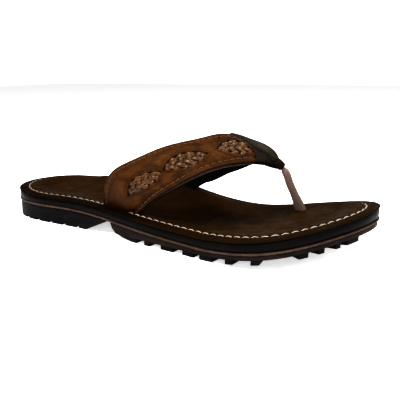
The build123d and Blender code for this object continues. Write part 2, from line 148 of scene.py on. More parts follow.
def cubic(knots, values, at, closed=False):
    """A smooth curve through values at knots, evaluated at every number in at."""
    x, y = np.asarray(knots, float), np.asarray(values, float)
    n, h = len(x), np.diff(x)
    slope = np.diff(y, axis=0) / h[:, None]
    system, right = np.zeros((n, n)), np.zeros_like(y)
    for i in range(1, n - 1):
        system[i, i - 1:i + 2] = h[i], 2 * (h[i - 1] + h[i]), h[i - 1]
        right[i] = 3 * (h[i] * slope[i - 1] + h[i - 1] * slope[i])
    if closed:
        system[0, 0], system[0, 1], system[0, n - 2] = 2 * (h[-1] + h[0]), h[-1], h[0]
        right[0] = 3 * (h[0] * slope[-1] + h[-1] * slope[0])
        system[n - 1, 0], system[n - 1, n - 1] = 1, -1
    else:
        system[0, 0], system[0, 1], right[0] = 2, 1, 3 * slope[0]
        system[n - 1, n - 1], system[n - 1, n - 2], right[n - 1] = 2, 1, 3 * slope[-1]
    m = np.linalg.solve(system, right)
    at = np.asarray(at, float)
    i = np.clip(np.searchsorted(x, at, side="right") - 1, 0, n - 2)
    step = h[i][..., None]
    t = ((at - x[i]) / h[i])[..., None]
    return ((2 * t**3 - 3 * t**2 + 1) * y[i] + (t**3 - 2 * t**2 + t) * step * m[i]
            + (3 * t**2 - 2 * t**3) * y[i + 1] + (t**3 - t**2) * step * m[i + 1])


def run_along(points):
    """Distance from the first point to each point, along the line."""
    return np.concatenate([[0], np.cumsum(np.linalg.norm(np.diff(points, axis=0), axis=1))])


def pick(at, run, points):
    """The points found at given distances along a line."""
    return np.column_stack([np.interp(at, run, points[:, k]) for k in range(points.shape[1])])


def evenly(points, count):
    """The same closed line with count points a fixed distance apart."""
    points = np.vstack([points, points[:1]])
    run = run_along(points)
    return pick(np.linspace(0, run[-1], count, endpoint=False), run, points)


def unit(v):
    """The vectors with length 1."""
    return v / np.maximum(np.linalg.norm(v, axis=-1, keepdims=True), 1e-9)


def outline_rim():
    """Evenly spaced points round the sole, and the inward direction at each."""
    corners = np.array(OUTLINE + OUTLINE[:1], float)
    knots = run_along(corners)
    dense = cubic(knots, corners, np.linspace(0, knots[-1], 6000, endpoint=False), closed=True)
    rim = evenly(dense, RIM_COUNT)
    along = unit(np.roll(rim, -1, axis=0) - np.roll(rim, 1, axis=0))
    return rim, np.column_stack([-along[:, 1], along[:, 0]])


RIM, INWARD = outline_rim()


# ---- heights ---------------------------------------------------------------------
def ground(x):
    """Underside of the lugs: flat, then rising to the toe."""
    return 16.3 * np.maximum((x - 50.0) / (TOE_X - 50.0), 0) ** 1.6


def welt(x):
    """Middle of the welt strip."""
    return 6.5 + 6.7 * smooth((58.0 - x) / 139.0) + ground(x)


def footbed(x, y, depth):
    """Top of the footbed at a distance in from the rim."""
    rise = 6.7 + 1.8 * (x + TOE_X) / (2 * TOE_X) + 1.4 * smooth((-95 - x) / 42)
    rise = rise + 12.0 * np.exp(-(((x + 33.0) / 47.0) ** 2)) * smooth((y - 2) / 25)
    dish = 2.0 + 0.8 * smooth((20 - x) / 70)
    crest = (1.1 + 1.0 * smooth(y / 20)) * smooth((depth - 1) / 11)
    return welt(x) + rise + crest - dish * smooth((depth - 8) / 18)


def rim_depth(xy):
    """How far points are in from the rim."""
    coarse = RIM[::6]
    return np.sqrt(((xy[:, None, :] - coarse[None]) ** 2).sum(2).min(1))


# ---- mesh building ---------------------------------------------------------------
class Surface:
    """Collects grids of points in millimetres and turns them into one mesh object."""

    def __init__(self):
        self.points, self.lay, self.tone, self.faces, self.count = [], [], [], [], 0

    def grid(self, points, lay=None, tone=0.0, wrap_rows=False, wrap_columns=True, caps=False):
        """Adds rows of points. lay is what materials use as coordinates, tone darkens."""
        rows, columns = points.shape[:2]
        index = np.arange(rows * columns).reshape(rows, columns) + self.count
        down = np.vstack([index, index[:1]]) if wrap_rows else index
        both = np.hstack([down, down[:, :1]]) if wrap_columns else down
        quads = np.stack([both[:-1, :-1], both[:-1, 1:], both[1:, 1:], both[1:, :-1]], axis=-1)
        self.faces += quads.reshape(-1, 4).tolist()
        if caps:
            self.faces += [index[0][::-1].tolist(), index[-1].tolist()]
        self.points.append(points.reshape(-1, 3))
        self.lay.append((points if lay is None else lay).reshape(-1, 3))
        self.tone.append(np.broadcast_to(np.asarray(tone, float), (rows, columns)).reshape(-1))
        self.count += rows * columns

    def build(self, name, merge=False):
        """The finished object, with its normals facing outwards."""
        points = np.vstack(self.points)
        place = (points + np.array([0, SHIFT_Y, 0])) * MM
        mesh = bpy.data.meshes.new(name)
        mesh.from_pydata(place.tolist(), [], self.faces)
        return finish_mesh(name, mesh, np.vstack(self.lay), np.concatenate(self.tone), merge)


def store(mesh, name, kind, field, values):
    """Keeps values on the mesh's points, where materials can read them."""
    layer = mesh.attributes.new(name, kind, "POINT")
    layer.data.foreach_set(field, values.astype(np.float32).ravel())


def finish_mesh(name, mesh, lay, tone, merge=False):
    """Stores the coordinates for materials, cleans the mesh and makes its object."""
    store(mesh, "lay", "FLOAT_VECTOR", "vector", lay)
    store(mesh, "tone", "FLOAT", "value", tone)
    work = bmesh.new()
    work.from_mesh(mesh)
    if merge:
        bmesh.ops.remove_doubles(work, verts=work.verts, dist=0.02 * MM)
    bmesh.ops.recalc_face_normals(work, faces=work.faces)
    work.to_mesh(mesh)
    work.free()
    mesh.shade_smooth()
    mesh.set_sharp_from_angle(angle=math.radians(50))
    piece = bpy.data.objects.new(name, mesh)
    bpy.context.scene.collection.objects.link(piece)
    return piece


def ring(inset, height, step=1):
    """One ring of points, a distance in from the rim."""
    xy = (RIM + INWARD * inset)[::step]
    return np.column_stack([xy, height(xy[:, 0], xy[:, 1], inset)])


def core_rings(inset, height, shares, step=1):
    """Rings that shrink from an inset ring to the sole's centre line."""
    start = (RIM + INWARD * inset)[::step]
    x = np.clip(start[:, 0], CENTRE_LINE[0][0], CENTRE_LINE[0][-1])
    middle = np.column_stack([x, np.interp(x, *CENTRE_LINE)])
    rings = []
    for share in shares:
        xy = start + (middle - start) * share
        rings.append(np.column_stack([xy, height(xy[:, 0], xy[:, 1], rim_depth(xy))]))
    return rings


def close_cut(work):
    """Takes away both walls of the cut at the ball line and joins the two halves."""
    cut = [(BALL_X + side * FLEX_GAP / 2) * MM for side in (-1, 1)]

    def on_cut(vertex, wall):
        return abs(vertex.co.x - wall) < 0.02 * MM

    walls = [f for f in work.faces if any(all(on_cut(v, wall) for v in f.verts) for wall in cut)]
    bmesh.ops.delete(work, geom=walls, context="FACES")
    for v in work.verts:
        if on_cut(v, cut[0]) or on_cut(v, cut[1]):
            v.co.x = BALL_X * MM
    bmesh.ops.remove_doubles(work, verts=work.verts, dist=0.03 * MM)


def slice_for_bending(work):
    """Cuts the long faces across, so that they can follow the bend."""
    for x in range(FLEX[0], FLEX[1] + 1, 3):
        everything = work.verts[:] + work.edges[:] + work.faces[:]
        bmesh.ops.bisect_plane(work, geom=everything, dist=1e-6,
                               plane_co=(x * MM, 0, 0), plane_no=(1, 0, 0))


def soften(work, bevel):
    """Rounds every sharp edge."""
    sharp = [e for e in work.edges
             if len(e.link_faces) == 2 and e.calc_face_angle(0) > math.radians(35)]
    bmesh.ops.bevel(work, geom=sharp, offset=bevel * MM, offset_type="OFFSET", segments=2, profile=0.6,
                    affect="EDGES", clamp_overlap=True)


def cad_copy(name, nodes, bevel):
    """CAD nodes as one mesh with softened edges, closed over the cut at the ball line."""
    work = bmesh.new()
    for node in nodes:
        work.from_mesh(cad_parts[node].data)
    bmesh.ops.remove_doubles(work, verts=work.verts, dist=0.003 * MM)
    if len(nodes) > 1:
        close_cut(work)
    soften(work, bevel)
    if len(nodes) > 1:
        slice_for_bending(work)
    mesh = bpy.data.meshes.new(name)
    work.to_mesh(mesh)
    work.free()
    places = np.array([v.co for v in mesh.vertices]) / MM
    return finish_mesh(name, mesh, places, np.zeros(len(places)))


# ---- materials --------------------------------------------------------------------
class Look:
    """A procedural material: colour, roughness and bump from nodes on the piece's own coordinates."""

    def __init__(self, name, roughness=0.5, **fixed):
        self.material = bpy.data.materials.new(name)
        self.material.use_nodes = True
        self.nodes, self.links = self.material.node_tree.nodes, self.material.node_tree.links
        self.shader = self.nodes["Principled BSDF"]
        self.shader.inputs["Roughness"].default_value = roughness
        for key, value in fixed.items():
            self.shader.inputs[key.replace("_", " ")].default_value = value
        self.lay = self.node("ShaderNodeAttribute", attribute_name="lay").outputs["Vector"]
        self.tone = self.node("ShaderNodeAttribute", attribute_name="tone").outputs["Fac"]
        self.normal = None

    def node(self, kind, inputs=None, **settings):
        """Adds a node; an input is a number or the socket that feeds it."""
        made = self.nodes.new(kind)
        for key, value in settings.items():
            setattr(made, key, value)
        for key, value in (inputs or {}).items():
            if isinstance(value, bpy.types.NodeSocket):
                self.links.new(value, made.inputs[key])
            else:
                made.inputs[key].default_value = value
        return made

    def stretched(self, scale):
        """The coordinates, scaled differently along each axis."""
        return self.node("ShaderNodeMapping", {"Vector": self.lay, "Scale": scale}).outputs["Vector"]

    def noise(self, scale, detail=4.0, rough=0.6, stretch=None, warp=0.0):
        """Cloudy variation, 0 to 1."""
        vector = self.stretched(stretch) if stretch else self.lay
        inputs = {"Vector": vector, "Scale": scale, "Detail": detail, "Roughness": rough, "Distortion": warp}
        return self.node("ShaderNodeTexNoise", inputs).outputs["Fac"]

    def cells(self, scale, feature="DISTANCE_TO_EDGE"):
        """A net of cells, like creases or pebbles."""
        inputs = {"Vector": self.lay, "Scale": scale}
        return self.node("ShaderNodeTexVoronoi", inputs, feature=feature).outputs["Distance"]

    def ribs(self, scale, direction, warp):
        """Parallel ribs."""
        inputs = {"Vector": self.lay, "Scale": scale, "Distortion": warp, "Detail": 1.0}
        made = self.node("ShaderNodeTexWave", inputs, wave_type="BANDS", bands_direction=direction)
        return made.outputs["Fac"]

    def remap(self, value, low, high, out_low=0.0, out_high=1.0):
        """Eases a value's range onto another range."""
        inputs = {"Value": value, "From Min": low, "From Max": high, "To Min": out_low, "To Max": out_high}
        return self.node("ShaderNodeMapRange", inputs, interpolation_type="SMOOTHSTEP").outputs["Result"]

    def product(self, a, b):
        """One value times another."""
        return self.node("ShaderNodeMath", {0: a, 1: b}, operation="MULTIPLY").outputs["Value"]

    def mix(self, factor, a, b):
        """Blends two colours, each a colour or a socket."""
        made = self.node("ShaderNodeMix", data_type="RGBA")
        for socket, value in ((made.inputs[0], factor), (made.inputs[6], a), (made.inputs[7], b)):
            if isinstance(value, bpy.types.NodeSocket):
                self.links.new(value, socket)
            else:
                socket.default_value = (*value, 1.0) if isinstance(value, tuple) else value
        return made.outputs[2]

    def bump(self, height, depth, strength=1.0):
        """Adds relief; depth is in millimetres."""
        inputs = {"Height": height, "Distance": depth * MM, "Strength": strength}
        if self.normal:
            inputs["Normal"] = self.normal
        self.normal = self.node("ShaderNodeBump", inputs).outputs["Normal"]

    def done(self, color, roughness=None):
        """Feeds the shader and gives the finished material."""
        self.links.new(color, self.shader.inputs["Base Color"])
        if roughness:
            self.links.new(roughness, self.shader.inputs["Roughness"])
        if self.normal:
            self.links.new(self.normal, self.shader.inputs["Normal"])
        return self.material


def leather_look(name, light, middle, dark, grain, shine, coat=0.0, spec=0.4):
    """Grained leather: mottled dye, a net of fine creases, pores, and places darkened by the piece's tone,
    mostly painted shade in grooves, folds and recesses.
    """
    look = Look(name, Coat_Weight=coat, Coat_Roughness=0.22, Specular_IOR_Level=spec)
    clouds = look.noise(0.09, detail=5.0, rough=0.62, warp=0.6)
    fine = look.noise(1.3, detail=3.0)
    net = look.cells(grain)
    pores = look.noise(3.2, detail=2.0)
    color = look.mix(look.remap(clouds, 0.34, 0.66), middle, light)
    color = look.mix(look.remap(fine, 0.42, 0.75, 0.0, 0.45), color, dark)
    color = look.mix(look.remap(net, 0.12, 0.0, 0.0, 0.4), color, dark)
    # The piece's tone darkens the colour: painted shade in grooves, folds and recesses, and darker edges.
    color = look.mix(look.tone, color, dark)
    look.bump(look.remap(net, 0.0, 0.3), 0.11)
    look.bump(fine, 0.18)
    look.bump(pores, 0.05)
    low, high = shine
    return look.done(color, look.remap(look.noise(0.35, detail=4.0), 0.3, 0.7, low, high))


def footbed_look():
    """Soft waxed leather with lighter scuffs; darker round the rim, and with painted shade in the pressed
    stitch groove.
    """
    look = Look("footbed_leather", Specular_IOR_Level=0.03)
    clouds = look.noise(0.035, detail=6.0, rough=0.6, warp=0.8)
    scuffs = look.noise(0.22, detail=6.0, rough=0.7, stretch=(0.5, 1.0, 1.0))
    fine = look.noise(1.8, detail=4.0, rough=0.7)
    net = look.cells(0.85)
    color = look.mix(look.remap(clouds, 0.32, 0.68), (0.0205, 0.0106, 0.0036), (0.0315, 0.0168, 0.0062))
    color = look.mix(look.remap(scuffs, 0.5, 0.75, 0.0, 0.4), color, (0.036, 0.0195, 0.0085))
    color = look.mix(look.remap(fine, 0.5, 0.75, 0.0, 0.3), color, (0.009, 0.0042, 0.0018))
    color = look.mix(look.tone, color, (0.006, 0.003, 0.0014))
    look.bump(look.remap(net, 0.0, 0.25), 0.07)
    look.bump(scuffs, 0.25)
    look.bump(fine, 0.12)
    return look.done(color, look.remap(look.noise(0.12, detail=5.0), 0.3, 0.7, 0.44, 0.66))


def rubber_look(name, color_low, color_high, roughness, moulded=False):
    """Moulded rubber or foam: fine pebble texture, dusty streaks."""
    look = Look(name, Specular_IOR_Level=0.1)
    dust = look.noise(0.08, detail=6.0, rough=0.65, stretch=(0.6, 1.0, 2.2))
    pebble = look.cells(2.4, feature="SMOOTH_F1")
    fine = look.noise(4.5, detail=2.0)
    color = look.mix(look.remap(dust, 0.4, 0.72), color_low, color_high)
    color = look.mix(look.tone, color, color_low)
    look.bump(pebble, 0.12 if moulded else 0.06)
    look.bump(fine, 0.05)
    return look.done(color, look.remap(dust, 0.3, 0.7, roughness - 0.08, roughness + 0.08))


def thread_look(name, light, dark):
    """Twisted waxed thread."""
    look = Look(name, Sheen_Weight=0.15, Sheen_Roughness=0.4)
    twist = look.ribs(0.55, "DIAGONAL", warp=0.5)
    fuzz = look.noise(5.0, detail=2.0)
    soil = look.noise(0.11, detail=5.0)
    color = look.mix(look.remap(twist, 0.2, 0.8), dark, light)
    color = look.mix(look.remap(soil, 0.45, 0.75, 0.0, 0.5), color, dark)
    color = look.mix(look.tone, color, dark)
    look.bump(twist, 0.12)
    look.bump(fuzz, 0.05)
    return look.done(color, look.remap(fuzz, 0.3, 0.7, 0.55, 0.75))


def cloth_look(name, light, dark, ribs, sheen):
    """Woven or napped cloth: warp and weft ribs, loose fibres, uneven dye."""
    look = Look(name, Sheen_Weight=sheen, Sheen_Roughness=0.5, Specular_IOR_Level=0.1)
    warp = look.ribs(ribs, "X", warp=0.4)
    weft = look.ribs(ribs, "Y", warp=0.4)
    weave = look.product(warp, weft)
    fibres = look.noise(2.8, detail=5.0, rough=0.75)
    clouds = look.noise(0.12, detail=4.0)
    color = look.mix(look.remap(weave, 0.05, 0.8), dark, light)
    color = look.mix(look.remap(clouds, 0.35, 0.7, 0.0, 0.5), color, dark)
    color = look.mix(look.tone, color, dark)
    look.bump(weave, 0.14)
    look.bump(fibres, 0.12)
    return look.done(color, look.remap(fibres, 0.3, 0.7, 0.7, 0.9))


# ---- sole pieces ----------------------------------------------------------------------
def rim_run(inset):
    """The inset ring's points, closed, and the distance run along it."""
    xy = RIM + INWARD * inset
    closed = np.vstack([xy, xy[:1]])
    return closed, run_along(closed)


def stitch_phase():
    """For each rim point, how near it is to a needle hole: 0 on the thread, 1 at a hole."""
    _, run = rim_run(STITCH_INSET)
    pitch = run[-1] / round(run[-1] / STITCH_PITCH)
    return 0.5 - 0.5 * np.cos(2 * math.pi * run[:-1] / pitch)


def footbed_cover():
    """The leather cover: rolled edge, pressed stitch line, hollow middle, closed underneath."""
    def sink(amount):
        return lambda x, y, d: footbed(x, y, d) - amount

    shape = Surface()
    holes = stitch_phase()
    edge = [(3.0, 1.6), (0.9, 1.62), (0.25, 1.45), (-0.15, 1.1), (-0.3, 0.7), (-0.2, 0.35), (0.15, 0.1),
            (0.7, -0.02), (1.4, -0.06), (2.6, -0.02), (4.2, 0.0), (5.8, 0.02), (6.7, 0.12), (7.2, 0.32),
            (STITCH_INSET, 0.45), (8.0, 0.32), (8.5, 0.12), (9.3, 0.0), (11.0, 0.0)]
    under = core_rings(3.0, sink(1.6), np.linspace(1, 0, 7)[:-1])
    rings = under + [ring(inset, sink(drop)) for inset, drop in edge]
    tones = [np.full(RIM_COUNT, 0.5)] * len(under)
    for k, (inset, drop) in enumerate(edge):
        near = bell(inset - STITCH_INSET, 0.8)
        side = rings[len(under) + k]
        side[:, 2] -= near * (0.22 * holes + 0.6 * smooth(side[:, 1] / 20))
        # Painted shade in the pressed stitch groove, deepest at the needle holes; the rim outside the stitch
        # line is darker, more towards the heel.
        rim_darkening = (0.4 + 0.4 * smooth((20 - side[:, 0]) / 60)) * smooth((STITCH_INSET - inset) / 3.0)
        tones.append(np.maximum(0.8 * near * (0.4 + 0.6 * holes), rim_darkening))
    inner = core_rings(11.0, sink(0.0), np.linspace(0, 1, 26)[1:])
    rings += inner
    tones += [np.zeros(RIM_COUNT)] * len(inner)
    shape.grid(np.array(rings), tone=np.array(tones))
    return shape.build("footbed_leather", merge=True)


def sole_layer(name, wall, top, bottom, step=2):
    """A full-width sole layer: a wall of (inset, share down) points between two heights."""
    def between(share):
        return lambda x, y, d: top(x, y, d) * (1 - share) + bottom(x, y, d) * share

    shape = Surface()
    shares = np.linspace(0, 1, 6)[1:]
    first, last = wall[0][0], wall[-1][0]
    rings = core_rings(first, top, shares[::-1], step)
    rings += [ring(inset, between(share), step) for inset, share in wall]
    rings += core_rings(last, bottom, shares, step)
    shape.grid(np.array(rings))
    return shape.build(name, merge=True)


def midsole():
    """The foam wall under the footbed, slightly barrelled."""
    def top(x, y, d):
        return footbed(x, y, 0.0) - 1.45 - 2.4 * smooth((d - 6) / 18)

    def bottom(x, y, d):
        return welt(x) + 1.0

    wall = [(3.0, 0.0), (0.9, 0.02), (0.55, 0.06)]
    wall += [(0.5 - 0.45 * math.sin(math.pi * s), 0.06 + 0.88 * s) for s in np.linspace(0.08, 0.92, 9)]
    wall += [(0.6, 0.95), (1.0, 0.99), (3.0, 1.0)]
    return sole_layer("midsole_foam", wall, top, bottom)


def welt_strip():
    """The tan strip, with a rounded edge just proud of the walls above and below."""
    shape = Surface()
    rings = []
    for turn in np.linspace(0, 2 * math.pi, 16, endpoint=False):
        c, s = math.cos(turn), math.sin(turn)
        inset = 3.0 - (3.25 if c > 0 else 2.5) * math.copysign(abs(c) ** 0.35, c)
        lift = (0.85 if c > 0 else 1.08) * math.copysign(abs(s) ** 0.7, s)
        rings.append(ring(inset, lambda x, y, d, lift=lift: welt(x) + lift))
    shape.grid(np.array(rings), wrap_rows=True)
    return shape.build("welt_strip")


# ---- threads and laces -----------------------------------------------------------------
def laid(rings, *values):
    """Coordinates for materials: one value or array for each axis, spread over all the rings."""
    return np.stack([np.broadcast_to(value, rings.shape[:2]) for value in values], axis=-1)


def tube(shape, path, normals, half_width, half_height, sides=8, tone=0.0, square=1.0):
    """A closed bar along path; normals point away from the surface that it lies on."""
    path = np.asarray(path, float)
    along = unit(np.gradient(path, axis=0))
    side = unit(np.cross(along, normals))
    up = np.cross(side, along)
    turn = np.linspace(0, 2 * math.pi, sides, endpoint=False)
    across = np.sign(np.cos(turn)) * np.abs(np.cos(turn)) ** square
    height = np.sign(np.sin(turn)) * np.abs(np.sin(turn)) ** square
    wide = np.broadcast_to(half_width, len(path))[:, None, None]
    high = np.broadcast_to(half_height, len(path))[:, None, None]
    rings = path[:, None] + side[:, None] * across[None, :, None] * wide
    rings = rings + up[:, None] * height[None, :, None] * high
    lay = laid(rings, run_along(path)[:, None], turn * wide[..., 0], path[0].sum())
    shape.grid(rings, lay=lay, tone=tone, caps=True)


def footbed_stitching():
    """Every stitch dips into the leather at both ends."""
    shape = Surface()
    closed, run = rim_run(STITCH_INSET)
    count = round(run[-1] / STITCH_PITCH)
    for i in range(count):
        at = (i * run[-1] / count + np.linspace(-0.5, 0.5, 9) * STITCH_LENGTH) % run[-1]
        path = pick(at, run, closed)
        arch = 0.72 * np.cos(np.linspace(-1, 1, 9) * math.pi / 2) ** 0.8 - 0.72
        z = footbed(path[:, 0], path[:, 1], STITCH_INSET) + arch - 0.08 - 0.6 * smooth(path[:, 1] / 20)
        soil_and_shade = 0.75 * float(smooth((-20.0 - path[4, 0]) / 60))
        path = np.column_stack([path, z])
        tube(shape, path, np.tile([0.0, 0.0, 1.0], (9, 1)), *FOOTBED_THREAD, tone=soil_and_shade)
    return shape.build("footbed_stitching")


# ---- straps -----------------------------------------------------------------------------
class Band:
    """A strap given by edge pairs: a point for any step along, millimetres across and depth."""

    def __init__(self, pairs, outward, crowns, root=False, eyes=()):
        rear = [np.array(r, float) for r, f in pairs]
        front = [np.array(f, float) for r, f in pairs]
        steps = list(range(len(pairs)))
        if root:
            rear.insert(0, rear[0] + (rear[0] - rear[1]) * ROOT_SHARE)
            front.insert(0, front[0] + (front[0] - front[1]) * ROOT_SHARE)
            crowns = [crowns[0]] + crowns
            steps.insert(0, -ROOT_SHARE)
        self.steps, self.outward = np.array(steps, float), np.array(outward, float)
        self.edges = np.hstack([np.array(rear), np.array(front), np.array(crowns)[:, None]])
        self.eyes, self.last = eyes, self.steps[-1]
        self.stations = np.linspace(self.steps[0], self.last, 400)
        middle = self.points(self.stations, self.frame(self.stations)[4][:, None] / 2, 0)[:, 0]
        self.runs = run_along(middle)

    def frame(self, t):
        """Back edge, across vector, outward normal, crown and width at steps t."""
        row = cubic(self.steps, self.edges, t)
        ahead = cubic(self.steps, self.edges, np.asarray(t) + 0.01)
        rear, front, crown = row[..., :3], row[..., 3:6], row[..., 6]
        along = (ahead[..., :3] + ahead[..., 3:6] - rear - front) / 2
        normal = unit(np.cross(front - rear, along))
        flip = np.sign((normal * self.outward).sum(-1, keepdims=True))
        return rear, front - rear, normal * flip, crown, np.linalg.norm(front - rear, axis=-1)

    def points(self, t, across, depth):
        """Points at steps t (rows) and millimetres across from the back edge (columns)."""
        rear, cross, normal, crown, width = self.frame(t)
        share = across / width[:, None]
        lift = crown[:, None] * 4 * share * (1 - share) - depth
        return rear[:, None] + cross[:, None] * share[..., None] + normal[:, None] * lift[..., None]

    def run(self, t):
        """Distance along the middle at steps t."""
        return np.interp(t, self.stations, self.runs)

    def step(self, run):
        """The step at a distance along the middle."""
        return np.interp(run, self.runs, self.stations)


def across_columns(widths, inset, middle):
    """Millimetres across for every row: close together at both edges, even between."""
    edge = np.array([0.0, 0.12, 0.3, 0.6, 1.0, 1.5, 2.1, 2.7, 3.1, 3.4, 3.7, 4.1, 4.8, 5.8])
    inner = np.linspace(0, 1, middle)[1:-1]
    rows = []
    for width in widths:
        left = edge + inset
        right = width - left[::-1]
        rows.append(np.concatenate([left, left[-1] + (right[0] - left[-1]) * inner, right]))
    return np.array(rows)


def shell(shape, band, t, inset, top, thickness, corner, relief=None, middle=60):
    """A closed layer of a strap between two depths, with rounded edges."""
    widths = band.frame(t)[4]
    across = across_columns(widths, inset, middle)
    edge = np.minimum(across, widths[:, None] - across) - inset
    drop = corner * (1 - np.sqrt(np.clip(1 - (1 - np.clip(edge / corner, 0, 1)) ** 2, 0, 1)))
    outer_depth, tone = top + drop, np.zeros_like(across)
    if relief:
        extra, tone = relief(t, across, widths)
        outer_depth = outer_depth + extra
    inner_depth = top + thickness - drop * 0.6
    if top > 0:
        thin = 1 - 0.6 * smooth((t - band.last) / 1.6 + 1)[:, None]
        outer_depth = LEATHER + (outer_depth - LEATHER) * thin
        inner_depth = LEATHER + (inner_depth - LEATHER) * thin
    outer = band.points(t, across, outer_depth)
    inner = band.points(t, across[:, ::-1], inner_depth[:, ::-1])
    run = band.run(t)[:, None]
    lay = laid(across, run, across, outer_depth)
    back = laid(across, run, -across[:, ::-1], inner_depth[:, ::-1])
    tones = np.hstack([tone, np.full_like(tone, 0.4)])
    shape.grid(np.hstack([outer, inner]), lay=np.hstack([lay, back]), tone=tones, caps=True)


def eye_distance(band, eye, t, across, widths):
    """How far inside a laced window points are (negative outside), in millimetres."""
    step, across_share, half_length, half_width = eye
    along = band.run(t) - band.run(step)
    side = across - widths[:, None] * across_share
    share = np.clip(along / half_length, -1.6, 1.6)[:, None]
    return half_width * (1 - share**2) - np.abs(side)


def strap_relief(band):
    """Padded swell, pressed stitch rows and sunk windows, with a tone that paints shade into them."""
    def relief(t, across, widths):
        edge = np.minimum(across, widths[:, None] - across)
        swell = -0.9 * smooth((edge - EDGE_SEAM) / 4.5) * smooth((t + 0.2) / 0.8)[:, None]
        creases = sum(bell(across - place, 0.5) for place in CREASES)
        seam = 0.55 * bell(edge - EDGE_SEAM, 0.75) + 0.28 * creases
        run = band.run(t)[:, None]
        pucker = 0.10 * np.sin(run * 2 * math.pi / STRAP_PITCH) * bell(edge - EDGE_SEAM, 1.4)
        fold = 0.12 * np.sin(run / 6.1 + across / 7.3) * smooth((edge - 5) / 5)
        # Painted shade, darker towards the strap's foot by the footbed.
        soil_and_shade = 0.4 * smooth((34 - run) / 30)
        depth = swell + seam + pucker + fold
        # Painted shade in the pressed stitch rows and creases; darker along both edges.
        tone = soil_and_shade + 0.8 * bell(edge - EDGE_SEAM, 0.6) + 0.7 * bell(edge, 1.2) + 0.35 * creases
        for eye in band.eyes:
            inside = eye_distance(band, eye, t, across, widths)
            depth = depth + 1.5 * smooth((inside + 0.2) / 0.9) - 0.35 * bell(inside + 0.8, 0.8)
            # Painted shade inside each sunk window and in the groove round it.
            tone = np.maximum(tone, 0.85 * smooth((inside + 0.2) / 0.6))
            tone = np.maximum(tone, 0.3 * bell(inside + 1.9, 0.7))
            depth = depth + 0.25 * bell(inside + 1.9, 0.5)
        return depth, tone
    return relief


def strap_leather(name, band):
    """The strap's outer leather."""
    shape = Surface()
    t = np.linspace(-ROOT_SHARE, band.last, 320)
    shell(shape, band, t, 0.0, 0.0, 1.6, 0.8, strap_relief(band), middle=84)
    return shape.build(name)


def strap_layer(name, band, top, thickness, inset, corner):
    """A plain layer under the strap's leather."""
    shape = Surface()
    t = np.linspace(-ROOT_SHARE, band.last, 150)
    shell(shape, band, t, inset, top, thickness, corner, middle=26)
    return shape.build(name)


def strap_stitching(name, band):
    """A row of stitches in each pressed seam."""
    shape = Surface()
    fine = np.linspace(0.12, band.last - 0.2, 1200)
    widths = band.frame(fine)[4]
    normals = band.frame(fine)[2]
    for side in (0, 1):
        across = EDGE_SEAM if side == 0 else widths - EDGE_SEAM
        line = band.points(fine, np.broadcast_to(across, len(fine))[:, None], 0.25)[:, 0]
        run = run_along(line)
        for middle in np.arange(2.2, run[-1] - 2, STRAP_PITCH):
            at = middle + np.linspace(-0.5, 0.5, 7) * STRAP_STITCH
            path = pick(at, run, line)
            up = unit(pick(at, run, normals))
            arch = 0.5 * np.cos(np.linspace(-1, 1, 7) * math.pi / 2) - 0.35
            tube(shape, path + up * arch[:, None], up, *STRAP_THREAD, sides=6)
    return shape.build(name)


def strap_braids(name, band):
    """A five-strand flat plait in each window, its ends tucked under the leather."""
    shape = Surface()
    for step, share, half, wide in band.eyes:
        tip = half * 0.97
        along = np.linspace(-tip, tip, 200)
        t = band.step(band.run(step) + along)
        _, _, normal, _, width = band.frame(t)
        reach = np.maximum(wide * (1 - (along / half) ** 2) - 1.2, 0.4)
        for strand in range(STRANDS):
            phase = 2 * math.pi * (along / BRAID_PERIOD + strand / STRANDS)
            weave = np.sin((STRANDS - 1) * phase)
            side = reach * np.sin(phase)
            height = 0.62 * weave * np.minimum(reach / 2.5, 1)
            end = smooth((tip - np.abs(along)) / 2.0)
            depth = 0.35 - height + 1.4 * (1 - end)
            path = band.points(t, (width * share + side)[:, None], depth[:, None])[:, 0]
            half_width = 0.9 + 0.6 * np.minimum(reach / 5, 1)
            # Painted shade: darker towards the strap's foot and where a strand dips under the others.
            soil_and_shade = 0.45 * smooth((46 - band.run(t)) / 30)
            tone = np.maximum(0.7 * smooth((0.25 - weave) / 1.2), soil_and_shade)[:, None]
            tube(shape, path, normal, half_width, 0.55, sides=12, tone=tone, square=0.8)
    return shape.build(name)


# ---- yoke, wrap and toe post --------------------------------------------------------------
def yoke_half(name, pairs, outward, crowns, strap):
    """Half of the yoke: laps over the strap's end and gathers into the wrap."""
    rear, cross, _, crown, _ = strap.frame(np.array([strap.last - 0.07]))
    lap = tuple(rear[0]), tuple(rear[0] + cross[0])
    band = Band([lap] + pairs, outward, [float(crown[0])] + crowns)
    t = np.linspace(0, band.last, 110)

    def relief(t, across, widths):
        share, ahead = across / widths[:, None], (t / band.last)[:, None]
        gather = smooth((ahead - 0.24) / 0.7)
        wave = np.sin(share * 2 * math.pi * YOKE_FOLDS + 0.6)
        lap_lift = -0.5 * smooth((0.36 - ahead) / 0.24)
        edge = np.minimum(across, widths[:, None] - across)
        # Painted shade in the valleys of the gathered folds; darker along both edges.
        tone = 0.9 * bell(edge, 1.1) + 0.45 * gather * (0.5 + 0.5 * wave)
        return lap_lift + 0.45 * gather * wave, tone

    shape = Surface()
    shell(shape, band, t, 0.0, 0.0, 3.0, 1.1, relief, middle=40)
    return shape.build(name)


